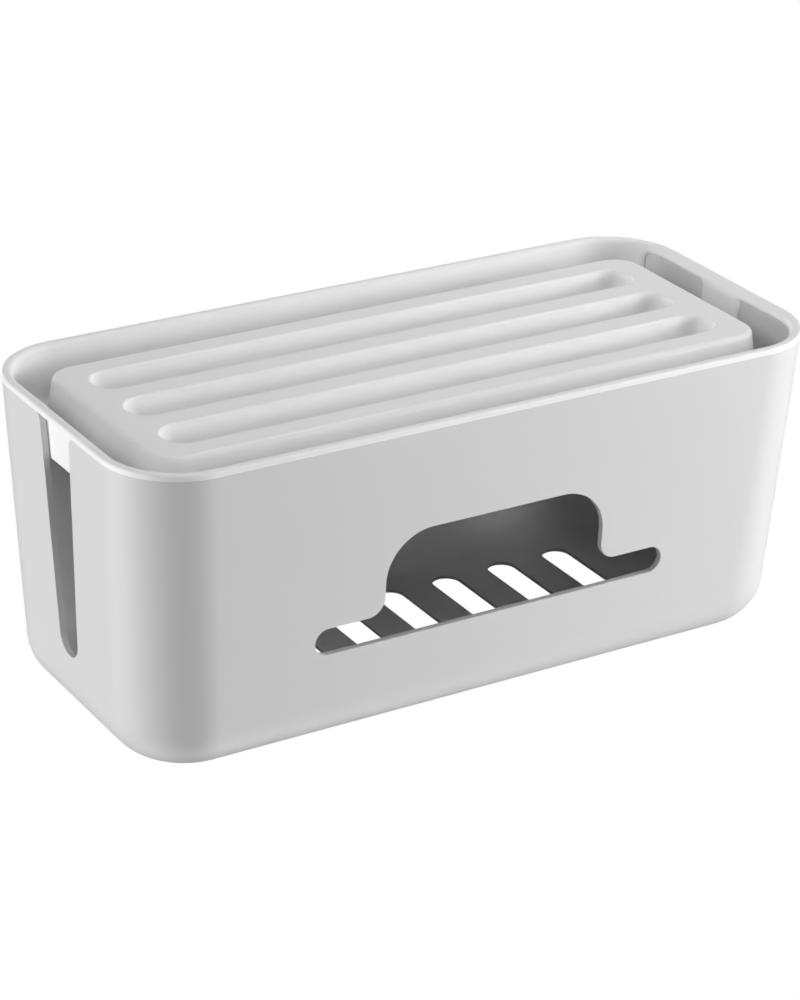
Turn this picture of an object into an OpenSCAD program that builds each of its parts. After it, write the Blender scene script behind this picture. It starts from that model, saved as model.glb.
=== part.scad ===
// Cable management box: a deep open shell with a lift-off lid and four rubber pads.
// The origin is the centre of the footprint, on the surface that the pads stand on. +X runs along the
// length, -Y is the front with the large opening, and +Z is up. All lengths are in millimetres.

/* [Box] */
// Overall length, over the rim of the lid
box_l = 320; // [280:1:400]
// Overall width, over the rim of the lid
box_w = 144; // [130:1:180]
// Overall height, from the pads to the top of the rim
box_h = 135; // [120:1:180]
// How far each wall leans in between the rim and the surface below
wall_lean = 6.4; // [2:0.1:10]
// Radius of the upright corners
corner_r = 32.5; // [27:0.5:36]
// Radius between the walls and the floor
base_r = 19; // [12:1:23]
// Thickness of the walls
wall_t = 2.8; // [1.8:0.1:3.2]
// Thickness of the floor
floor_t = 1.8; // [1.4:0.1:3]

/* [Front opening] */
// Width of the low, wide part of the opening
brim_w = 164; // [130:1:180]
// Height of the low, wide part of the opening, whose ends are half round
brim_h = 11.7; // [8:0.1:16]
// Height of the opening's lower edge above the surface below
brim_z = 43.7; // [34:0.1:52]
// Width of the tall middle part of the opening
crown_w = 102; // [80:1:110]
// Height of the whole opening
crown_h = 46.2; // [40:0.2:54]
// Radius of the upper corners of the middle part
crown_r = 20.5; // [8:0.5:25]
// Radius of the hollow corners between the two parts
brow_r = 7.5; // [3:0.5:12]

/* [End slots] */
// Width of each slot at the top of the wall
slot_top_w = 25; // [21:0.5:26]
// Width of each slot at its lower end, which is half round
slot_low_w = 15.5; // [12:0.5:20]
// Height of the lower end above the surface below
slot_z = 31.8; // [27:0.2:60]
// Radius of the wall's top corners beside each slot
slot_lip_r = 4; // [1:0.5:5]

/* [Floor vents] */
// Width of each vent
vent_w = 13; // [6:0.2:16]
// Distance from one vent to the next
vent_pitch = 28.8; // [24:0.2:40]
// Flat floor left beyond the ends of each vent
vent_margin = 6.3; // [5:0.1:15]
// Floor left between the outer vents and the pads
vent_gap = 4; // [3:0.5:8]

/* [Lid] */
// Thickness of the rim that lies on the walls
rim_t = 2.5; // [2:0.1:3.5]
// Overhang of the rim beyond the walls
rim_over = 0.4; // [0:0.1:1.5]
// Wall thickness of the lid
lid_t = 1.2; // [1:0.1:2.4]
// Clearance between the skirt of the lid and the walls of the box
lid_gap = 0.3; // [0.2:0.05:0.6]
// Depth of the lid, from the top of the rim to its underside
lid_depth = 21.8; // [18:0.2:26]
// Rounding along the inner edge of the rim
rim_inner_r = 2.2; // [1:0.1:2.8]
// Rounding along the outer edge of the rim
rim_outer_r = 1; // [0.3:0.1:1.2]
// Radius between the rim's inner wall and the floor of the moat
moat_r = 5; // [2:0.5:6]

/* [Plateau] */
// Width of the moat at the two ends, at the height of the plateau
end_moat = 14.9; // [12:0.1:20]
// Width of the moat along the two sides, at the height of the plateau
side_moat = 17.1; // [13:0.1:20]
// How far the plateau lies below the top of the rim
plateau_drop = 2.5; // [0:0.1:5]
// Radius of the plateau's upright corners
plateau_r = 12; // [6:0.5:16]
// Rounding along the plateau's upper edge
plateau_edge_r = 2; // [0.5:0.1:3]
// Rounding between the plateau and the floor of the moat
plateau_foot_r = 3; // [1:0.5:4]
// Draft of the plateau's sides, in degrees
plateau_draft = 8.5; // [0:0.5:10]

/* [Grooves] */
// Number of grooves along the plateau
groove_n = 3; // [1:1:3]
// Width of each groove, which is half round
groove_w = 18; // [12:0.5:20]
// Rounding along the edge of each groove
groove_edge_r = 1.1; // [0.5:0.1:2.5]
// Plateau left beyond the ends of each groove
groove_end = 12; // [8:0.5:30]

/* [Lid end openings] */
// Width of the tab between the two openings of an end, which closes the top of the end slot
tab_w = 26; // [26:0.5:40]
// Distance from the middle of the lid to the far edge of each opening
gap_reach = 52; // [40:0.5:56]
// Height of rim and skirt left above each opening
gap_header = 4.5; // [3.5:0.1:8]

/* [Rubber pads] */
// Diameter of each pad
pad_d = 14; // [10:0.5:18]
// Thickness of each pad
pad_t = 1.6; // [1.2:0.1:2.5]
// Depth of the shallow seat that each pad is glued into
pad_seat = 0.6; // [0.3:0.1:0.8]
// Clearance around each pad in its seat
pad_gap = 0.25; // [0.1:0.05:0.5]
// Distance from the edge of the flat floor to the centre of a pad, along the length
pad_in_x = 12; // [11:0.5:20]
// Distance from the edge of the flat floor to the centre of a pad, along the width
pad_in_y = 10.5; // [10:0.5:16]

/* [Hidden] */

// Extra length of a cutter beyond the solid that it cuts
over = 1;
// Segments of an upright corner, of a rounding between wall and floor, and of a small edge rounding
corner_n = 12;
base_n = 8;
edge_n = 4;
// Segments of a quarter arc in an extruded outline
arc_n = 8;
// Sign of the corner's x and y in each quarter of a ring
quarter_x = [1, -1, -1, 1];
quarter_y = [1, 1, -1, -1];

// Underside of the shell, and the height where the rim of the lid lies on the walls
floor_z = pad_t - pad_seat;
seat_z = box_h - rim_t;
// Edge of the flat part of the floor
flat_x = box_l / 2 - rim_over - wall_lean - base_r;
flat_y = box_w / 2 - rim_over - wall_lean - base_r;
// Centre of a pad
pad_x = flat_x - pad_in_x;
pad_y = flat_y - pad_in_y;

// Vents fill the floor between the pads
vent_room = 2 * (pad_x - pad_d / 2 - pad_gap - vent_gap);
vent_n = floor((vent_room - vent_w) / vent_pitch) + 1;
vent_l = 2 * (flat_y - vent_margin);

// The skirt's inner face inside the walls' outer face, and the width of the rim above it
skirt_in = wall_t + lid_gap + lid_t;
rim_w = rim_over + skirt_in;
lid_z = box_h - lid_depth;
moat_z = lid_z + lid_t;
plateau_z = box_h - plateau_drop;
plateau_x = box_l / 2 - rim_w - end_moat;
plateau_y = box_w / 2 - rim_w - side_moat;
// Outer edge of the plateau's foot at the ends, clear of its rounding
foot_x = plateau_x + (plateau_z - moat_z) * tan(plateau_draft) + plateau_foot_r;
// Lands of one width lie between the grooves and beside the outer ones
groove_r = groove_w / 2;
land_w = (2 * plateau_y - groove_n * groove_w) / (groove_n + 1);
groove_pitch = groove_w + land_w;
groove_x = plateau_x - groove_end - groove_r;

// How far a wall has leaned in at height z, and nothing above the walls
function lean(z) = wall_lean * max(0, 1 - z / seat_z);

// Closed ring of points at height z: a rectangle with round corners
function ring(hx, hy, r, z) = [
    for (q = [0:3], i = [0:corner_n])
        let (a = 90 * (q + i / corner_n))
        [quarter_x[q] * (hx - r) + r * cos(a), quarter_y[q] * (hy - r) + r * sin(a), z]
];

// Ring that follows the wall's outer face, moved inwards by off
function wall_ring(off, z) =
    let (in = rim_over + off)
    ring(box_l / 2 - lean(z) - in, box_w / 2 - lean(z) - in, corner_r - in, z);

// Rings of the rounding of radius r between a floor at height z0 and a wall moved inwards by off
function bowl_rings(off, z0, r, n) = [
    for (i = [0:n])
        let (t = 90 * i / n)
        wall_ring(off + r * (1 - sin(t)), z0 + r * (1 - cos(t)))
];

// Ring around the plateau, moved outwards by out
function plateau_ring(out, z) =
    let (d = out + (plateau_z - z) * tan(plateau_draft))
    ring(plateau_x + d, plateau_y + d, plateau_r + d, z);

// Arc from angle a0 to angle a1, in degrees
function arc(x, y, r, a0, a1) = [
    for (i = [0:arc_n])
        let (a = a0 + (a1 - a0) * i / arc_n)
        [x + r * cos(a), y + r * sin(a)]
];

// The points of a half outline and their mirror images, as one closed outline
function both_sides(half) = concat(half, [for (i = [len(half) - 1:-1:0]) [-half[i][0], half[i][1]]]);

// Right half of the front opening, from its lower edge up
function opening_half() = concat(
    arc(brim_w / 2 - brim_h / 2, brim_z + brim_h / 2, brim_h / 2, -90, 90),
    arc(crown_w / 2 + brow_r, brim_z + brim_h + brow_r, brow_r, 270, 180),
    arc(crown_w / 2 - crown_r, brim_z + crown_h - crown_r, crown_r, 0, 90)
);

// Right half of an end slot, from its lower end to above the wall
function slot_half() = concat(
    arc(0, slot_z + slot_low_w / 2, slot_low_w / 2, -90, 0),
    arc(slot_top_w / 2 + slot_lip_r, seat_z - slot_lip_r, slot_lip_r, 180, 90),
    [[slot_top_w / 2 + slot_lip_r, seat_z + over]]
);

// Right half of a groove's section, from its lowest point up to above the plateau
function groove_half() = concat(
    arc(0, -groove_edge_r, groove_r, -90, 0),
    arc(groove_r + groove_edge_r, -groove_edge_r, groove_edge_r, 180, 90),
    [[groove_r + groove_edge_r, over]]
);

// Solid whose skin passes through a list of rings, from the lowest up
module loft(rings) {
    n = len(rings[0]);
    top = (len(rings) - 1) * n;
    polyhedron(
        points = [for (one = rings) for (p = one) p],
        faces = concat(
            [[for (i = [0:n - 1]) i]],
            [
                for (k = [0:n:top - n], i = [0:n - 1])
                    let (j = (i + 1) % n)
                    [k + i, k + n + i, k + n + j, k + j]
            ],
            [[for (i = [n - 1:-1:0]) top + i]]
        )
    );
}

// Outline drawn in x and z, cut from y0 to y1
module cut_along_y(outline, y0, y1)
    translate([0, y1, 0]) rotate([90, 0, 0]) linear_extrude(y1 - y0) polygon(outline);

// Outline drawn in y and z, cut from x0 to x1
module cut_along_x(outline, x0, x1)
    translate([x0, 0, 0]) rotate([90, 0, 90]) linear_extrude(x1 - x0) polygon(outline);

// A slot with round ends along Y
module vent()
    linear_extrude(floor_z + floor_t + over) {
        for (side = [-1, 1]) translate([0, side * (vent_l - vent_w) / 2]) circle(d = vent_w, $fn = 32);
        square([vent_w, vent_l - vent_w], center = true);
    }

module at_pads()
    for (sx = [-1, 1], sy = [-1, 1]) translate([sx * pad_x, sy * pad_y, 0]) children();

module box_body() color("#d6d6d6")
    difference() {
        loft(concat(bowl_rings(0, floor_z, base_r, base_n), [wall_ring(0, seat_z)]));
        loft(concat(
            bowl_rings(wall_t, floor_z + floor_t, base_r - wall_t, base_n),
            [wall_ring(wall_t, seat_z), wall_ring(wall_t, seat_z + over)]
        ));
        cut_along_y(both_sides(opening_half()), -box_w / 2 - over, -flat_y);
        cut_along_x(both_sides(slot_half()), -box_l / 2 - over, -flat_x);
        cut_along_x(both_sides(slot_half()), flat_x, box_l / 2 + over);
        for (i = [0:vent_n - 1]) translate([vent_pitch * (i - (vent_n - 1) / 2), 0, 0]) vent();
        at_pads() translate([0, 0, floor_z - over])
            cylinder(d = pad_d + 2 * pad_gap, h = pad_seat + over, $fn = 64);
    }

// The rim and the block below it, before the basin is cut out of it
module lid_block() {
    loft(concat(
        [ring(box_l / 2, box_w / 2, corner_r, seat_z)],
        [
            for (i = [0:edge_n])
                let (t = 90 * i / edge_n, in = rim_outer_r * (1 - cos(t)))
                ring(box_l / 2 - in, box_w / 2 - in, corner_r - in, box_h - rim_outer_r * (1 - sin(t)))
        ]
    ));
    loft([wall_ring(wall_t + lid_gap, lid_z), wall_ring(wall_t + lid_gap, seat_z + rim_t / 2)]);
}

// The hollow inside the rim, down to the floor of the moat, with the rounded inner edge of the rim
module basin()
    loft(concat(
        bowl_rings(skirt_in, moat_z, moat_r, base_n),
        [
            for (i = [0:edge_n])
                let (t = 90 * i / edge_n)
                wall_ring(skirt_in - rim_inner_r * (1 - cos(t)), box_h - rim_inner_r * (1 - sin(t)))
        ],
        [wall_ring(skirt_in - rim_inner_r, box_h + over)]
    ));

// The raised block in the middle of the lid, with round edges above and a rounded foot
module plateau()
    loft(concat(
        [plateau_ring(plateau_foot_r, lid_z + lid_t / 2)],
        [
            for (i = [0:edge_n])
                let (t = 90 * i / edge_n)
                plateau_ring(plateau_foot_r * (1 - sin(t)), moat_z + plateau_foot_r * (1 - cos(t)))
        ],
        [
            for (i = [0:edge_n])
                let (t = 90 * i / edge_n)
                plateau_ring(-plateau_edge_r * (1 - cos(t)), plateau_z - plateau_edge_r * (1 - sin(t)))
        ]
    ));

// Places its children at the middle of each groove, at the height of the plateau
module at_grooves()
    for (i = [0:groove_n - 1])
        translate([0, groove_pitch * (i - (groove_n - 1) / 2), plateau_z]) children();

module groove() {
    cut_along_x(both_sides(groove_half()), -groove_x, groove_x);
    for (side = [-1, 1]) translate([side * groove_x, 0, 0])
        rotate_extrude($fn = 48) polygon(concat(groove_half(), [[0, over]]));
}

// The skin of the lid under a groove, as a solid bar
module groove_bar() translate([0, 0, -groove_edge_r]) {
    translate([-groove_x, 0, 0]) rotate([0, 90, 0]) cylinder(r = groove_r + lid_t, h = 2 * groove_x, $fn = 48);
    for (side = [-1, 1]) translate([side * groove_x, 0, 0]) sphere(r = groove_r + lid_t, $fn = 48);
}

// The hollow under the plateau
module plateau_hollow()
    difference() {
        loft([plateau_ring(-lid_t, lid_z - over), plateau_ring(-lid_t, plateau_z - lid_t)]);
        at_grooves() groove_bar();
    }

// The two openings at one end of the lid, either side of the tab
module end_gaps()
    for (sx = [-1, 1], sy = [-1, 1]) scale([sx, sy, 1])
        translate([foot_x, tab_w / 2, lid_z - over])
            cube([box_l / 2 - foot_x, gap_reach - tab_w / 2, box_h - gap_header - lid_z + over]);

module lid() color("#f2f2f2")
    difference() {
        union() {
            difference() {
                lid_block();
                basin();
            }
            plateau();
        }
        plateau_hollow();
        at_grooves() groove();
        end_gaps();
    }

module pad(sx, sy) color("#b8b8b8")
    translate([sx * pad_x, sy * pad_y, 0]) cylinder(d = pad_d, h = pad_t, $fn = 64);

box_body();
lid();
pad(-1, -1);  // pad_front_left
pad(1, -1);  // pad_front_right
pad(-1, 1);  // pad_back_left
pad(1, 1);  // pad_back_right
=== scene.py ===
"""Looks of the cable management box: moulded box, lift-off lid, rubber pads and a plain studio."""
import math

import bmesh
import bpy
from bpy.props import (
    FloatProperty,
    FloatVectorProperty,
    IntProperty,
    PointerProperty,
    StringProperty,
)
from mathutils import Matrix, Vector


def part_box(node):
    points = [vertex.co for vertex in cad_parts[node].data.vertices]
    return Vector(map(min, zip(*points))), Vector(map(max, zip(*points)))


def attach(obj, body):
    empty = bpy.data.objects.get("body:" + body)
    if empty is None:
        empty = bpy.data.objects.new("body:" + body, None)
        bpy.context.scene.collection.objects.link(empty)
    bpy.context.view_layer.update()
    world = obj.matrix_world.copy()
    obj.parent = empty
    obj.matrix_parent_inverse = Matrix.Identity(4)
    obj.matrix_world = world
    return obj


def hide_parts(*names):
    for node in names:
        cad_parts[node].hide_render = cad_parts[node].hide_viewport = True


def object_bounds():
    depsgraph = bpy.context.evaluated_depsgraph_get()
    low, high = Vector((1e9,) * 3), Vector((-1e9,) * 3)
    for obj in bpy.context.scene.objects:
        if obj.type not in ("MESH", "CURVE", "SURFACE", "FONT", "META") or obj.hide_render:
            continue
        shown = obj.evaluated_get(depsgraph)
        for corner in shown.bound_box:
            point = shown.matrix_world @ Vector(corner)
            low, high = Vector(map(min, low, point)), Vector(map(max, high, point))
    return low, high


bl_info = {
    "name": "Cable Management Box",
    "version": (1, 0, 0),
    "blender": (4, 5, 0),
    "location": "3D View > Sidebar > Cable Box",
    "description": "Builds the moulded box, its lid and its pads around their solids, and a plain studio",
    "category": "Add Mesh",
}

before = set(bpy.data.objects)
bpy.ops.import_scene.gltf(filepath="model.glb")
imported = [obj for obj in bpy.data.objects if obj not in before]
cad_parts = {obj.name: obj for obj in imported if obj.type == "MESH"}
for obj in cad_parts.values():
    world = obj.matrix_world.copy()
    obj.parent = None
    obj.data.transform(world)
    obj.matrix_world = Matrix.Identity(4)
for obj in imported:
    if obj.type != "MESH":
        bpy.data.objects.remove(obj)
CAD_LOW, CAD_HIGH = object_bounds()
BODY_LOW, BODY_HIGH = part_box("box_body")
LID_LOW, LID_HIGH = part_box("lid")
MM = 0.001
PADS = sorted(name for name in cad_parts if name.startswith("pad_"))

# Segments of an upright corner, of a large rounding, of a small one and of an arc in an outline
CORNER_STEPS = 28
BOWL_STEPS = 18
EDGE_STEPS = 8
ARC_STEPS = 14
# How far a cutter runs past the solid that it cuts
OVER = 2 * MM
# Edges that turn more than this are cut edges, which get their small rounding in so many steps
CUT_EDGE = math.radians(28)
CUT_EDGE_STEPS = 3
# Faces that turn less than this lie in one plane
FLAT = math.radians(0.02)
# Points closer than this are one point, in a new solid and after the cuts
SAME_POINT, SAME_POINT_CUT = MM / 1000, MM / 500
# The flare of an end opening starts this far inside the skirt, so that the two skins cross cleanly
FLARE_START = 0.05 * MM
# Where the flare's rings lie, as shares of the angle that it turns through, from outside to inside
FLARE_SHARES = (0.62, 0.4, 0.2, 0)
# Most of a noise's values lie in this range
NOISE_RANGE = {"From_Min": 0.3, "From_Max": 0.7}
# Half the side of the floor in metres, and the level of the card below it
FLOOR_HALF = 20
CARD_Z = -1 * MM
# The camera's sensor in millimetres, and its clipping distances in metres
SENSOR_WIDTH = 36
CLIP_NEAR, CLIP_FAR = 0.01, 50


def size(label, text, millimetres):
    """A length that a user may change, given in millimetres and kept in metres."""
    return FloatProperty(
        name=label,
        description=text,
        default=millimetres * MM,
        min=0,
        unit="LENGTH",
        subtype="DISTANCE",
        precision=5,
    )


def angle(label, text, degrees):
    """An angle that a user may change, given in degrees and kept in radians."""
    value = math.radians(degrees)
    return FloatProperty(name=label, description=text, default=value, subtype="ANGLE")


def hex_colour(label, text, value):
    """A colour that a user may change, as an sRGB hex value."""
    return StringProperty(name=label, description=text, default=value)


class BoxSizes(bpy.types.PropertyGroup):
    """Sizes of the box body"""

    rim_over: size("Rim overhang", "Overhang of the lid's rim beyond the walls", 0.4)
    wall_lean: size("Wall lean", "How far each wall leans in from the rim to the surface below", 6.4)
    corner_r: size("Corner radius", "Radius of the upright corners", 32.5)
    base_r: size("Base radius", "Radius between the walls and the floor", 19)
    wall_t: size("Wall", "Thickness of the walls", 2.8)
    floor_t: size("Floor", "Thickness of the floor", 1.8)
    edge_r: size("Edge rounding", "Rounding along every cut edge", 0.3)
    brim_w: size("Brim width", "Width of the low part of the front opening", 164)
    brim_h: size("Brim height", "Height of the low part of the front opening", 11.7)
    brim_z: size("Brim level", "Height of the opening's lower edge above the surface below", 43.7)
    crown_w: size("Crown width", "Width of the tall part of the front opening", 102)
    crown_h: size("Crown height", "Height of the whole front opening", 46.2)
    crown_r: size("Crown radius", "Radius of the tall part's upper corners", 20.5)
    brow_r: size("Brow radius", "Radius of the hollow corners between both parts", 7.5)
    slot_top_w: size("Slot top", "Width of an end slot at the top of the wall", 25)
    slot_low_w: size("Slot foot", "Width of an end slot at its round lower end", 15.5)
    slot_z: size("Slot level", "Height of the slot's lower end above the surface below", 31.8)
    slot_lip_r: size("Slot lip", "Radius of the wall's top corners beside the slot", 4)
    vent_w: size("Vent width", "Width of a floor vent", 13)
    vent_pitch: size("Vent pitch", "Distance from one floor vent to the next", 28.8)
    vent_margin: size("Vent margin", "Flat floor left beyond the ends of a vent", 6.3)
    vent_n: IntProperty(name="Vents", description="Number of floor vents", default=8, min=1, max=12)


class LidSizes(bpy.types.PropertyGroup):
    """Sizes of the lid"""

    lid_t: size("Lid wall", "Wall thickness of the lid", 1.2)
    lid_gap: size("Skirt gap", "Clearance between the skirt and the walls of the box", 0.3)
    rim_inner_r: size("Rim, inside", "Rounding along the inner edge of the rim", 2.2)
    rim_outer_r: size("Rim, outside", "Rounding along the outer edge of the rim", 1)
    moat_r: size("Moat radius", "Radius between the rim's inner wall and the moat", 5)
    end_moat: size("End moat", "Width of the moat at the ends, level with the plateau", 14.9)
    side_moat: size("Side moat", "Width of the moat along the sides, level with the plateau", 17.1)
    plateau_drop: size("Plateau drop", "How far the plateau lies below the rim", 2.5)
    plateau_r: size("Plateau corners", "Radius of the plateau's upright corners", 12)
    plateau_edge_r: size("Plateau edge", "Rounding along the plateau's upper edge", 2)
    plateau_foot_r: size("Plateau foot", "Rounding between the plateau and the moat", 3)
    plateau_draft: angle("Plateau draft", "Draft of the plateau's sides", 8.5)
    groove_n: IntProperty(name="Grooves", description="Number of grooves", default=3, min=1, max=3)
    groove_w: size("Groove width", "Width of a half-round groove", 18)
    groove_edge_r: size("Groove edge", "Rounding along the edge of a groove", 1.1)
    groove_end: size("Groove ends", "Plateau left beyond the ends of a groove", 12)
    tab_w: size("Tab width", "Width of the tab that closes the top of an end slot", 26)
    gap_reach: size("Opening reach", "Distance from the middle to an end opening's far edge", 52)
    gap_header: size("Opening header", "Height of the rim left above an end opening", 4.5)
    gap_corner_r: size("Opening corners", "Radius of an end opening's upper corners", 2)
    gap_edge_r: size("Opening flare", "Rounding along the inner edge of an end opening", 3)
    edge_r: size("Edge rounding", "Rounding along every cut edge", 0.3)


class PadSizes(bpy.types.PropertyGroup):
    """Sizes of the rubber pads and their seats"""

    edge_r: size("Pad edge", "Rounding along the lower edge of a pad", 0.5)
    seat_gap: size("Seat gap", "Clearance between a pad and the side of its seat", 0.25)


class Finishes(bpy.types.PropertyGroup):
    """Colours of the three materials"""

    box_colour: hex_colour("Box", "Light grey polypropylene of the box", "#D6D6D6")
    lid_colour: hex_colour("Lid", "Off-white polypropylene of the lid", "#F2F2F2")
    pad_colour: hex_colour("Pads", "Translucent grey rubber of the pads", "#B9BABB")


class StudioSettings(bpy.types.PropertyGroup):
    """The camera and the lights"""

    azimuth: angle("Azimuth", "Camera's direction round the box", -32.13)
    elevation: angle("Elevation", "Camera's height angle", 25.62)
    roll: angle("Roll", "Camera's turn about its view", 1.73)
    distance: size("Distance", "Distance from the camera to its target", 1318.65)
    target_z: size("Target height", "Height that the camera looks at", 52)
    lens: FloatProperty(name="Lens", description="Focal length in millimetres", default=114.19)
    shift: FloatVectorProperty(
        name="Shift",
        description="Sideways and upward shift of the lens",
        size=2,
        default=(-0.00543, 0.02974),
    )
    light_power: FloatProperty(
        name="Light power", description="Factor on the power of every softbox", default=1, min=0
    )


# ---------------------------------------------------------------- shapes


def ring(half_x, half_y, radius, z):
    """Closed ring of points at height z: a rectangle with round corners."""
    points = []
    for quarter, (sx, sy) in enumerate(((1, 1), (-1, 1), (-1, -1), (1, -1))):
        for i in range(CORNER_STEPS + 1):
            a = math.radians(90 * (quarter + i / CORNER_STEPS))
            x = sx * (half_x - radius) + radius * math.cos(a)
            y = sy * (half_y - radius) + radius * math.sin(a)
            points.append((x, y, z))
    return points


def lean(z):
    """How far a wall has leaned in at height z, and nothing above the walls."""
    s = bpy.context.scene.box_sizes
    return s.wall_lean * max(0, 1 - z / BODY_HIGH.z)


def wall_ring(off, z):
    """Ring that follows the wall's outer face, moved inwards by off."""
    s = bpy.context.scene.box_sizes
    inward = s.rim_over + off
    half_x, half_y = LID_HIGH.x - lean(z) - inward, LID_HIGH.y - lean(z) - inward
    return ring(half_x, half_y, s.corner_r - inward, z)


def quarter_turn(steps):
    """(sine, cosine) of steps + 1 angles from 0 to 90 degrees."""
    angles = [math.radians(90 * i / steps) for i in range(steps + 1)]
    return [(math.sin(a), math.cos(a)) for a in angles]


def bowl_rings(off, z, radius):
    """Rings of the rounding between a floor at height z and a wall moved inwards by off."""
    turn = quarter_turn(BOWL_STEPS)
    return [wall_ring(off + radius * (1 - s), z + radius * (1 - c)) for s, c in turn]


def flat_floor():
    """Half length and half width of the flat part of the box's floor."""
    s = bpy.context.scene.box_sizes
    foot = s.rim_over + s.wall_lean + s.base_r
    return LID_HIGH.x - foot, LID_HIGH.y - foot


def stadium(half_length, radius, z):
    """Closed ring of points at height z: a straight slot along X with round ends."""
    steps = 2 * ARC_STEPS
    points = []
    for end, start in ((1, -90), (-1, 90)):
        for i in range(steps + 1):
            a = math.radians(start + 180 * i / steps)
            points.append((end * half_length + radius * math.cos(a), radius * math.sin(a), z))
    return points


def arc(x, y, radius, start, stop):
    """Points of an arc in an outline, from one angle in degrees to another."""
    angles = [math.radians(start + (stop - start) * i / ARC_STEPS) for i in range(ARC_STEPS + 1)]
    return [(x + radius * math.cos(a), y + radius * math.sin(a)) for a in angles]


def both_sides(half):
    """A half outline and its mirror image, as one closed outline."""
    return half + [(-x, y) for x, y in reversed(half)]


def loft(rings):
    """A closed solid whose skin passes through rings of equal length, from the lowest up."""
    bm = bmesh.new()
    loops = [[bm.verts.new(point) for point in one] for one in rings]
    count = len(loops[0])
    for low, high in zip(loops, loops[1:]):
        for i in range(count):
            j = (i + 1) % count
            bm.faces.new((low[i], low[j], high[j], high[i]))
    bm.faces.new(reversed(loops[0]))
    bm.faces.new(loops[-1])
    bmesh.ops.remove_doubles(bm, verts=bm.verts, dist=SAME_POINT)
    bmesh.ops.recalc_face_normals(bm, faces=bm.faces)
    return piece_from(bm, "solid")


def prism(outline, low, high, axes):
    """A closed outline pushed from low to high, and turned into place by the matrix axes."""
    solid = loft([[(x, y, z) for x, y in outline] for z in (low, high)])
    solid.data.transform(axes)
    return solid


def piece_from(bm, name):
    """A new object from a bmesh."""
    mesh = bpy.data.meshes.new(name)
    bm.to_mesh(mesh)
    bm.free()
    made = bpy.data.objects.new(name, mesh)
    bpy.context.scene.collection.objects.link(made)
    return made


def settle(obj):
    """Applies every modifier of an object."""
    bpy.context.view_layer.update()
    evaluated = obj.evaluated_get(bpy.context.evaluated_depsgraph_get())
    result = bpy.data.meshes.new_from_object(evaluated)
    obj.modifiers.clear()
    obj.data = result


def combine(base, others, operation):
    """Joins the other solids to the base or cuts them out of it, and removes them."""
    for other in others:
        step = base.modifiers.new("combine", "BOOLEAN")
        step.operation = operation
        step.solver = "EXACT"
        step.object = other
    settle(base)
    for other in others:
        bpy.data.objects.remove(other)
    if len(base.data.polygons) == 0:
        raise RuntimeError(f"nothing is left of {base.name} after {operation}")
    return base


def tidy_mesh(obj):
    """Joins doubled points and makes one face of what lies in one plane, for clean roundings."""
    bm = bmesh.new()
    bm.from_mesh(obj.data)
    bmesh.ops.remove_doubles(bm, verts=bm.verts, dist=SAME_POINT_CUT)
    bmesh.ops.dissolve_limit(
        bm, angle_limit=FLAT, verts=bm.verts, edges=bm.edges, use_dissolve_boundaries=False
    )
    bm.to_mesh(obj.data)
    bm.free()


def round_edges(obj, radius):
    """Cleans the mesh and gives every cut edge its small rounding."""
    tidy_mesh(obj)
    step = obj.modifiers.new("cut edges", "BEVEL")
    step.width = radius
    step.segments = CUT_EDGE_STEPS
    step.limit_method = "ANGLE"
    step.angle_limit = CUT_EDGE
    step.use_clamp_overlap = False
    step.miter_outer = "MITER_ARC"
    settle(obj)


def shade(obj):
    """Smooth shading whose normals follow the larger faces."""
    obj.data.shade_smooth()
    step = obj.modifiers.new("normals", "WEIGHTED_NORMAL")
    step.mode = "FACE_AREA"
    step.weight = 100
    step.keep_sharp = True


def finish_piece(obj, name, body, material, nodes):
    """Names a piece and gives it its material, its body and the solids that it stands for."""
    obj.name = obj.data.name = name
    obj.data.materials.clear()
    obj.data.materials.append(material)
    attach(obj, body)
    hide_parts(*nodes)


# ---------------------------------------------------------------- materials


def linear(value):
    """An sRGB hex colour as linear red, green, blue and alpha."""
    channels = [int(value[i : i + 2], 16) / 255 for i in (1, 3, 5)]
    return [c / 12.92 if c <= 0.04045 else ((c + 0.055) / 1.055) ** 2.4 for c in channels] + [1.0]


def add_node(tree, kind, settings=None, **inputs):
    """Adds a node, with its own properties in settings. An input is a value or a node's output."""
    node = tree.nodes.new(kind)
    for key, value in (settings or {}).items():
        setattr(node, key, value)
    for key, value in inputs.items():
        socket = node.inputs[key.replace("_", " ")]
        if isinstance(value, bpy.types.NodeSocket):
            tree.links.new(value, socket)
        else:
            socket.default_value = value
    return node


def new_material(name):
    """An empty material with its output node."""
    material = bpy.data.materials.new(name)
    material.use_nodes = True
    material.node_tree.nodes.clear()
    return material, material.node_tree, add_node(material.node_tree, "ShaderNodeOutputMaterial")


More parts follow.
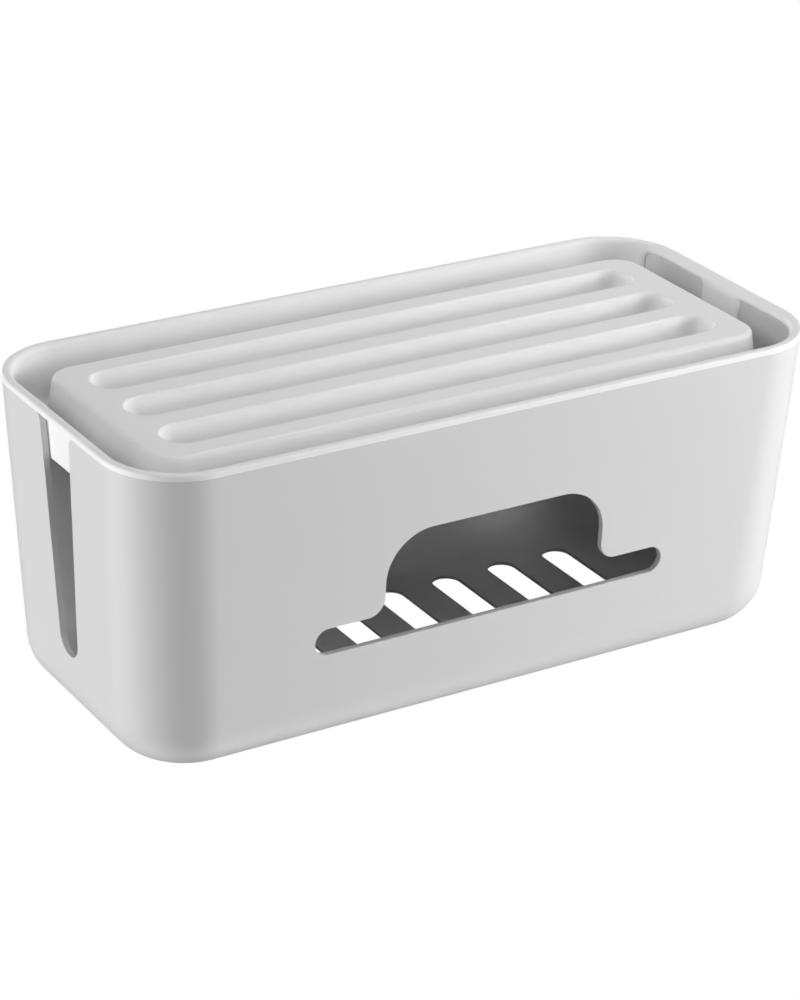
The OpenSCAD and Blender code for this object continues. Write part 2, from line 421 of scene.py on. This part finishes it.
def moulded_polypropylene(name, colour):
    """Polypropylene from a fine spark-eroded tool: satin, with a faint even grain and slow waves."""
    material, tree, output = new_material(name)
    place = add_node(tree, "ShaderNodeTexCoord").outputs["Object"]
    # The tool's grain is about 0.2 mm, too fine to show, so it is drawn at 0.9 mm
    grain = add_node(
        tree, "ShaderNodeTexNoise", Vector=place, Scale=1 / (0.9 * MM), Detail=2.0, Roughness=0.5
    )
    # Walls shrink a little unevenly as they cool, in waves of about 45 mm
    wave = add_node(
        tree, "ShaderNodeTexNoise", Vector=place, Scale=1 / (45 * MM), Detail=1.0, Roughness=0.4
    )
    # The pigment is never quite even, in patches of about 70 mm
    patch = add_node(
        tree, "ShaderNodeTexNoise", Vector=place, Scale=1 / (70 * MM), Detail=3.0, Roughness=0.55
    )
    tone = add_node(
        tree, "ShaderNodeMapRange", Value=patch.outputs["Fac"], **NOISE_RANGE, To_Min=0.985, To_Max=1.0
    )
    paint = add_node(
        tree,
        "ShaderNodeVectorMath",
        {"operation": "SCALE"},
        Vector=linear(colour)[:3],
        Scale=tone.outputs["Result"],
    )
    gloss = add_node(
        tree, "ShaderNodeMapRange", Value=grain.outputs["Fac"], **NOISE_RANGE, To_Min=0.44, To_Max=0.52
    )
    slow = add_node(tree, "ShaderNodeBump", Strength=1.0, Distance=0.03 * MM, Height=wave.outputs["Fac"])
    fine = add_node(
        tree,
        "ShaderNodeBump",
        Strength=1.0,
        Distance=0.012 * MM,
        Height=grain.outputs["Fac"],
        Normal=slow.outputs["Normal"],
    )
    shader = add_node(
        tree,
        "ShaderNodeBsdfPrincipled",
        Base_Color=paint.outputs["Vector"],
        Roughness=gloss.outputs["Result"],
        IOR=1.49,
        Normal=fine.outputs["Normal"],
    )
    tree.links.new(shader.outputs["BSDF"], output.inputs["Surface"])
    return material


def moulded_rubber(colour):
    """Clear silicone rubber, die cut: dull and slightly milky, with a fine matt skin."""
    material, tree, output = new_material("Silicone rubber, die cut")
    place = add_node(tree, "ShaderNodeTexCoord").outputs["Object"]
    # The skin's texture is about 0.5 mm
    skin = add_node(
        tree, "ShaderNodeTexNoise", Vector=place, Scale=1 / (0.5 * MM), Detail=3.0, Roughness=0.6
    )
    tone = add_node(
        tree, "ShaderNodeMapRange", Value=skin.outputs["Fac"], **NOISE_RANGE, To_Min=0.94, To_Max=1.0
    )
    paint = add_node(
        tree,
        "ShaderNodeVectorMath",
        {"operation": "SCALE"},
        Vector=linear(colour)[:3],
        Scale=tone.outputs["Result"],
    )
    gloss = add_node(
        tree, "ShaderNodeMapRange", Value=skin.outputs["Fac"], **NOISE_RANGE, To_Min=0.55, To_Max=0.75
    )
    bump = add_node(tree, "ShaderNodeBump", Strength=1.0, Distance=0.02 * MM, Height=skin.outputs["Fac"])
    shader = add_node(
        tree,
        "ShaderNodeBsdfPrincipled",
        Base_Color=paint.outputs["Vector"],
        Roughness=gloss.outputs["Result"],
        IOR=1.41,
        Normal=bump.outputs["Normal"],
    )
    tree.links.new(shader.outputs["BSDF"], output.inputs["Surface"])
    return material


# ---------------------------------------------------------------- pieces

# Turns an outline's x and y into the row's X and Z, and its depth into -Y
ALONG_Y = Matrix(((1, 0, 0, 0), (0, 0, -1, 0), (0, 1, 0, 0), (0, 0, 0, 1)))
# Turns an outline's x and y into the row's Y and Z, and its depth into X
ALONG_X = Matrix(((0, 0, 1, 0), (1, 0, 0, 0), (0, 1, 0, 0), (0, 0, 0, 1)))
# Turns a slot that lies along X so that it lies along Y
CROSSWISE = Matrix.Rotation(math.pi / 2, 4, "Z")


def front_opening(s):
    """Outline of the front opening: a low wide part with round ends under a tall round part."""
    return both_sides(
        arc(s.brim_w / 2 - s.brim_h / 2, s.brim_z + s.brim_h / 2, s.brim_h / 2, -90, 90)
        + arc(s.crown_w / 2 + s.brow_r, s.brim_z + s.brim_h + s.brow_r, s.brow_r, 270, 180)
        + arc(s.crown_w / 2 - s.crown_r, s.brim_z + s.crown_h - s.crown_r, s.crown_r, 0, 90)
    )


def end_slot(s):
    """Outline of an end slot: half-round foot, sides that spread, round lips at the wall's top."""
    half = arc(0, s.slot_z + s.slot_low_w / 2, s.slot_low_w / 2, -90, 0)
    half += arc(s.slot_top_w / 2 + s.slot_lip_r, BODY_HIGH.z - s.slot_lip_r, s.slot_lip_r, 180, 90)
    half.append((s.slot_top_w / 2 + s.slot_lip_r, BODY_HIGH.z + OVER))
    return both_sides(half)


class CABLEBOX_OT_box_body(bpy.types.Operator):
    """Builds the moulded box: shell, front opening, end slots, floor vents and pad seats"""

    bl_idname = "cablebox.box_body"
    bl_label = "Box Body"

    def execute(self, context):
        s = context.scene.box_sizes
        floor = BODY_LOW.z
        shell = loft(bowl_rings(0, floor, s.base_r) + [wall_ring(0, BODY_HIGH.z)])
        mouth = wall_ring(s.wall_t, BODY_HIGH.z)
        bowl = bowl_rings(s.wall_t, floor + s.floor_t, s.base_r - s.wall_t)
        inside = loft([*bowl, mouth, [(x, y, z + OVER) for x, y, z in mouth]])
        flat_x, flat_y = flat_floor()
        cutters = [inside, prism(front_opening(s), flat_y, LID_HIGH.y + OVER, ALONG_Y)]
        for low, high in ((-LID_HIGH.x - OVER, -flat_x), (flat_x, LID_HIGH.x + OVER)):
            cutters.append(prism(end_slot(s), low, high, ALONG_X))
        vent_r = s.vent_w / 2
        vent = [(x, y) for x, y, _ in stadium(flat_y - s.vent_margin - vent_r, vent_r, 0)]
        for i in range(s.vent_n):
            place = Matrix.Translation(((i - (s.vent_n - 1) / 2) * s.vent_pitch, 0, 0)) @ CROSSWISE
            cutters.append(prism(vent, floor - OVER, floor + s.floor_t + OVER, place))
        body = combine(shell, cutters, "DIFFERENCE")
        round_edges(body, s.edge_r)
        combine(body, [self.seat(name, floor) for name in PADS], "DIFFERENCE")
        body.data.set_sharp_from_angle(angle=CUT_EDGE)
        shade(body)
        colour = context.scene.finishes.box_colour
        material = moulded_polypropylene("Polypropylene, moulded, light grey", colour)
        finish_piece(body, "moulded_box", "box", material, ["box_body"])
        return {"FINISHED"}

    def seat(self, name, floor):
        """The shallow round seat that a pad is glued into."""
        low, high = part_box(name)
        centre = (low + high) / 2
        radius = (high.x - low.x) / 2 + bpy.context.scene.pad_sizes.seat_gap
        outline = arc(centre.x, centre.y, radius, 0, 90)
        points = []
        for quarter in range(4):
            turn = Matrix.Rotation(quarter * math.pi / 2, 2)
            for x, y in outline[:-1]:
                offset = turn @ Vector((x - centre.x, y - centre.y))
                points.append((centre.x + offset.x, centre.y + offset.y))
        return prism(points, floor - OVER, high.z, Matrix.Identity(4))


class CABLEBOX_OT_lid(bpy.types.Operator):
    """Builds the moulded lid: rim, moat, grooved plateau, end openings and the hollow below"""

    bl_idname = "cablebox.lid"
    bl_label = "Lid"

    def plateau_ring(self, out, z):
        """Ring around the plateau, moved outwards by out."""
        s = self.sizes
        reach = out + (self.plateau_z - z) * math.tan(s.plateau_draft)
        return ring(self.plateau_x + reach, self.plateau_y + reach, s.plateau_r + reach, z)

    def upper_skin(self):
        """Rings from the foot of the skirt, over the rim and the moat, to the plateau's top."""
        s = self.sizes
        top, seat = LID_HIGH.z, BODY_HIGH.z
        half_x, half_y, corner = LID_HIGH.x, LID_HIGH.y, bpy.context.scene.box_sizes.corner_r
        skirt = bpy.context.scene.box_sizes.wall_t + s.lid_gap
        rings = [wall_ring(skirt, LID_LOW.z), wall_ring(skirt, seat)]
        rings.append(ring(half_x, half_y, corner, seat))
        for sine, cosine in quarter_turn(EDGE_STEPS):
            inward, z = s.rim_outer_r * (1 - cosine), top - s.rim_outer_r * (1 - sine)
            rings.append(ring(half_x - inward, half_y - inward, corner - inward, z))
        for sine, cosine in reversed(quarter_turn(EDGE_STEPS)):
            off = self.skirt_in - s.rim_inner_r * (1 - cosine)
            rings.append(wall_ring(off, top - s.rim_inner_r * (1 - sine)))
        rings += reversed(bowl_rings(self.skirt_in, self.moat_z, s.moat_r))
        for sine, cosine in quarter_turn(EDGE_STEPS):
            z = self.moat_z + s.plateau_foot_r * (1 - cosine)
            rings.append(self.plateau_ring(s.plateau_foot_r * (1 - sine), z))
        for sine, cosine in quarter_turn(EDGE_STEPS):
            z = self.plateau_z - s.plateau_edge_r * (1 - sine)
            rings.append(self.plateau_ring(-s.plateau_edge_r * (1 - cosine), z))
        return rings

    def groove(self, y, off):
        """The round trough of a groove as a solid, with its skin moved outwards by off."""
        s = self.sizes
        radius = s.groove_w / 2 + off
        axis_z = self.plateau_z - s.groove_edge_r
        rings = [
            stadium(self.groove_x, radius * cosine, axis_z - radius * sine)
            for sine, cosine in reversed(quarter_turn(BOWL_STEPS)[:-1])
        ]
        if off:
            rings.append(stadium(self.groove_x, radius, self.plateau_z + OVER))
        else:
            for sine, cosine in quarter_turn(EDGE_STEPS):
                wider = radius + s.groove_edge_r * (1 - cosine)
                rings.append(stadium(self.groove_x, wider, axis_z + s.groove_edge_r * sine))
            rings.append(stadium(self.groove_x, radius + s.groove_edge_r, self.plateau_z + OVER))
        return loft([[(x, py + y, z) for x, py, z in one] for one in rings])

    def opening_outline(self, grown):
        """Outline in y and z of an end opening, grown at its sides and top."""
        s = self.sizes
        low, high = s.tab_w / 2 - grown, s.gap_reach + grown
        top, radius = LID_HIGH.z - s.gap_header + grown, s.gap_corner_r + grown
        # The wall bends near the corners, so the upper edge has points along it
        start, length = low + radius, high - low - 2 * radius
        across = [start + length * (1 - i / ARC_STEPS) for i in range(1, ARC_STEPS)]
        return [
            (low, LID_LOW.z - OVER),
            (high, LID_LOW.z - OVER),
            *arc(high - radius, top - radius, radius, 0, 90),
            *((y, top) for y in across),
            *arc(low + radius, top - radius, radius, 90, 180),
        ]

    def end_opening(self, sx, sy):
        """Cutter of one of the four end openings, flared along the skirt's inner edge."""
        s, box = self.sizes, bpy.context.scene.box_sizes

        def on_wall(y, z, off):
            """Point of the end wall at y and z, moved inwards by off."""
            centre = LID_HIGH.y - lean(z) - box.corner_r
            radius = box.corner_r - box.rim_over - off
            reach = math.sqrt(radius**2 - max(0, y - centre) ** 2)
            return LID_HIGH.x - lean(z) - box.corner_r + reach, y, z

        spread = (self.plateau_z - self.moat_z) * math.tan(s.plateau_draft)
        foot_x = self.plateau_x + spread + s.plateau_foot_r
        plain = self.opening_outline(0)
        end = math.acos(1 - (s.lid_t + FLARE_START) / s.gap_edge_r)
        rings = [[(LID_HIGH.x + OVER, y, z) for y, z in plain]]
        rings.append([on_wall(y, z, self.skirt_in - s.lid_t) for y, z in plain])
        for share in FLARE_SHARES:
            turned = end * share
            grown = s.gap_edge_r * (math.sin(end) - math.sin(turned))
            off = self.skirt_in + FLARE_START - s.gap_edge_r * (1 - math.cos(turned))
            rings.append([on_wall(y, z, off) for y, z in self.opening_outline(grown)])
        rings.append([(foot_x, y, z) for y, z in plain])
        return loft([[(sx * x, sy * y, z) for x, y, z in one] for one in rings])

    def execute(self, context):
        s = self.sizes = context.scene.lid_sizes
        self.skirt_in = context.scene.box_sizes.wall_t + s.lid_gap + s.lid_t
        rim_w = context.scene.box_sizes.rim_over + self.skirt_in
        self.moat_z = LID_LOW.z + s.lid_t
        self.plateau_z = LID_HIGH.z - s.plateau_drop
        self.plateau_x = LID_HIGH.x - rim_w - s.end_moat
        self.plateau_y = LID_HIGH.y - rim_w - s.side_moat
        self.groove_x = self.plateau_x - s.groove_end - s.groove_w / 2
        land = (2 * self.plateau_y - s.groove_n * s.groove_w) / (s.groove_n + 1)
        centres = [(i - (s.groove_n - 1) / 2) * (s.groove_w + land) for i in range(s.groove_n)]
        levels = (LID_LOW.z - OVER, self.plateau_z - s.lid_t)
        hollow = loft([self.plateau_ring(-s.lid_t, z) for z in levels])
        combine(hollow, [self.groove(y, s.lid_t) for y in centres], "DIFFERENCE")
        lid = loft(self.upper_skin())
        openings = [self.end_opening(sx, sy) for sx in (-1, 1) for sy in (-1, 1)]
        combine(lid, [hollow, *(self.groove(y, 0) for y in centres), *openings], "DIFFERENCE")
        round_edges(lid, s.edge_r)
        lid.data.set_sharp_from_angle(angle=CUT_EDGE)
        shade(lid)
        colour = context.scene.finishes.lid_colour
        material = moulded_polypropylene("Polypropylene, moulded, off-white", colour)
        finish_piece(lid, "moulded_lid", "lid", material, ["lid"])
        return {"FINISHED"}


class CABLEBOX_OT_pads(bpy.types.Operator):
    """Builds the four rubber pads, each a disc with a rounded lower edge"""

    bl_idname = "cablebox.pads"
    bl_label = "Rubber Pads"

    def execute(self, context):
        edge = context.scene.pad_sizes.edge_r
        turn = quarter_turn(EDGE_STEPS)
        material = moulded_rubber(context.scene.finishes.pad_colour)
        for name in PADS:
            low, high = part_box(name)
            centre, radius = (low + high) / 2, (high.x - low.x) / 2
            profile = [(radius - edge * (1 - s), low.z + edge * (1 - c)) for s, c in turn]
            rings = []
            for r, z in [*profile, (radius, high.z)]:
                rings.append([(x + centre.x, y + centre.y, z) for x, y, z in ring(r, r, r, z)])
            pad = loft(rings)
            pad.data.set_sharp_from_angle(angle=CUT_EDGE)
            shade(pad)
            full_name = name.replace("pad_", "rubber_pad_")
            finish_piece(pad, full_name, "box", material, [name])
        return {"FINISHED"}


# ---------------------------------------------------------------- studio


def direction(azimuth, elevation):
    """Unit vector towards an azimuth, 0 at the front and a quarter turn at the right."""
    flat = math.cos(elevation)
    return Vector((math.sin(azimuth) * flat, -math.cos(azimuth) * flat, math.sin(elevation)))


def softbox(name, azimuth, elevation, distance, side, watts):
    """A square soft light that faces the middle of the box."""
    data = bpy.data.lights.new(name, "AREA")
    data.shape, data.size = "SQUARE", side
    data.energy = watts * bpy.context.scene.studio.light_power
    lamp = bpy.data.objects.new(name, data)
    towards = direction(math.radians(azimuth), math.radians(elevation))
    lamp.location = Vector((0, 0, CAD_HIGH.z / 2)) + towards * distance
    lamp.rotation_euler = towards.to_track_quat("Z", "Y").to_euler()
    lamp.visible_camera = False
    bpy.context.scene.collection.objects.link(lamp)


class CABLEBOX_OT_studio(bpy.types.Operator):
    """Makes the white floor, the black card below it, the soft lights and the camera"""

    bl_idname = "cablebox.studio"
    bl_label = "Studio"

    def execute(self, context):
        self.make_floor()
        self.make_lights()
        self.make_camera(context.scene.studio)
        context.scene.view_settings.view_transform = "Standard"
        return {"FINISHED"}

    def make_floor(self):
        """A wide floor of glowing white film, and below it a black card where the box stands."""
        film, tree, output = new_material("White film, lit from below")
        glow = add_node(tree, "ShaderNodeEmission", Strength=1.0)
        tree.links.new(glow.outputs["Emission"], output.inputs["Surface"])
        floor = self.sheet("floor", FLOOR_HALF, FLOOR_HALF, 0, film)
        floor.visible_diffuse = floor.visible_glossy = floor.visible_shadow = False
        card, tree, output = new_material("Card, matt black")
        black = add_node(tree, "ShaderNodeBsdfDiffuse", Color=(0.01, 0.01, 0.01, 1))
        tree.links.new(black.outputs["BSDF"], output.inputs["Surface"])
        self.sheet("black_card", *flat_floor(), CARD_Z, card).visible_camera = False

    def sheet(self, name, half_x, half_y, z, material):
        """A flat rectangle of the stage at height z."""
        bm = bmesh.new()
        half = Matrix.Diagonal((half_x, half_y, 1, 1))
        bmesh.ops.create_grid(bm, x_segments=1, y_segments=1, size=1, matrix=half)
        bmesh.ops.translate(bm, verts=bm.verts, vec=(0, 0, z))
        made = piece_from(bm, name)
        made.data.materials.append(material)
        return made

    def make_lights(self):
        """White walls that only the camera sees, and softboxes on all sides and below."""
        world = bpy.data.worlds.new("studio")
        world.use_nodes = True
        tree = world.node_tree
        walls = tree.nodes["Background"]
        walls.inputs["Color"].default_value = (1, 1, 1, 1)
        seen = add_node(tree, "ShaderNodeLightPath").outputs["Is Camera Ray"]
        tree.links.new(seen, walls.inputs["Strength"])
        bpy.context.scene.world = world
        # Angles in degrees, distances and sides in metres
        softbox("left_softbox", azimuth=-105, elevation=5, distance=2.2, side=0.8, watts=21.4)
        softbox("left_high_softbox", azimuth=-90, elevation=35, distance=2.2, side=0.8, watts=11.9)
        softbox("left_low_softbox", azimuth=-105, elevation=-15, distance=1.1, side=0.5, watts=3.2)
        softbox("front_softbox", azimuth=-30, elevation=5, distance=1.1, side=0.5, watts=0.9)
        softbox("front_high_softbox", azimuth=-30, elevation=35, distance=1.1, side=0.5, watts=1.1)
        softbox("right_far_softbox", azimuth=45, elevation=20, distance=2.2, side=0.8, watts=10.8)
        softbox("right_front_softbox", azimuth=45, elevation=5, distance=1.1, side=0.5, watts=3.7)
        softbox("right_softbox", azimuth=60, elevation=5, distance=1.1, side=0.5, watts=5.9)
        softbox("right_high_softbox", azimuth=60, elevation=20, distance=1.1, side=0.5, watts=2)
        softbox("back_softbox", azimuth=180, elevation=5, distance=1.1, side=0.5, watts=4.5)
        softbox("back_high_softbox", azimuth=135, elevation=55, distance=1.1, side=0.5, watts=4.6)
        softbox("floor_left_softbox", azimuth=-90, elevation=-65, distance=1.1, side=0.8, watts=2.8)
        softbox("floor_right_softbox", azimuth=30, elevation=-65, distance=1.1, side=0.8, watts=4.4)

    def make_camera(self, s):
        """The camera, which looks at its target and is turned about its view by its roll."""
        data = bpy.data.cameras.new("camera")
        data.lens, data.sensor_width = s.lens, SENSOR_WIDTH
        data.shift_x, data.shift_y = s.shift
        data.clip_start, data.clip_end = CLIP_NEAR, CLIP_FAR
        camera = bpy.data.objects.new("camera", data)
        back = direction(s.azimuth, s.elevation)
        right = Vector((math.cos(s.azimuth), math.sin(s.azimuth), 0))
        up = back.cross(right)
        turned_right = math.cos(s.roll) * right + math.sin(s.roll) * up
        turned_up = math.cos(s.roll) * up - math.sin(s.roll) * right
        place = Matrix.Translation(Vector((0, 0, s.target_z)) + back * s.distance)
        camera.matrix_world = place @ Matrix((turned_right, turned_up, back)).transposed().to_4x4()
        bpy.context.scene.collection.objects.link(camera)
        bpy.context.scene.camera = camera


OPERATORS = (CABLEBOX_OT_box_body, CABLEBOX_OT_lid, CABLEBOX_OT_pads, CABLEBOX_OT_studio)
GROUPS = {
    "box_sizes": BoxSizes,
    "lid_sizes": LidSizes,
    "pad_sizes": PadSizes,
    "finishes": Finishes,
    "studio": StudioSettings,
}


class CABLEBOX_PT_panel(bpy.types.Panel):
    """The pieces and their sizes, in the sidebar"""

    bl_idname = "CABLEBOX_PT_panel"
    bl_label = "Cable Box"
    bl_space_type = "VIEW_3D"
    bl_region_type = "UI"
    bl_category = "Cable Box"

    def draw(self, context):
        for operator in OPERATORS:
            self.layout.operator(operator.bl_idname)
        for name, group in GROUPS.items():
            box = self.layout.box()
            for key in group.__annotations__:
                box.prop(getattr(context.scene, name), key)


CLASSES = (*GROUPS.values(), *OPERATORS, CABLEBOX_PT_panel)


def register():
    """Registers the classes and puts the sizes and colours on the scene."""
    for cls in CLASSES:
        bpy.utils.register_class(cls)
    for name, group in GROUPS.items():
        setattr(bpy.types.Scene, name, PointerProperty(type=group))


def unregister():
    """Takes everything away that register added."""
    for name in GROUPS:
        delattr(bpy.types.Scene, name)
    for cls in reversed(CLASSES):
        bpy.utils.unregister_class(cls)


def main():
    """Builds every piece and the studio."""
    register()
    bpy.ops.cablebox.box_body()
    bpy.ops.cablebox.lid()
    bpy.ops.cablebox.pads()
    bpy.ops.cablebox.studio()


if __name__ == "__main__":
    main()
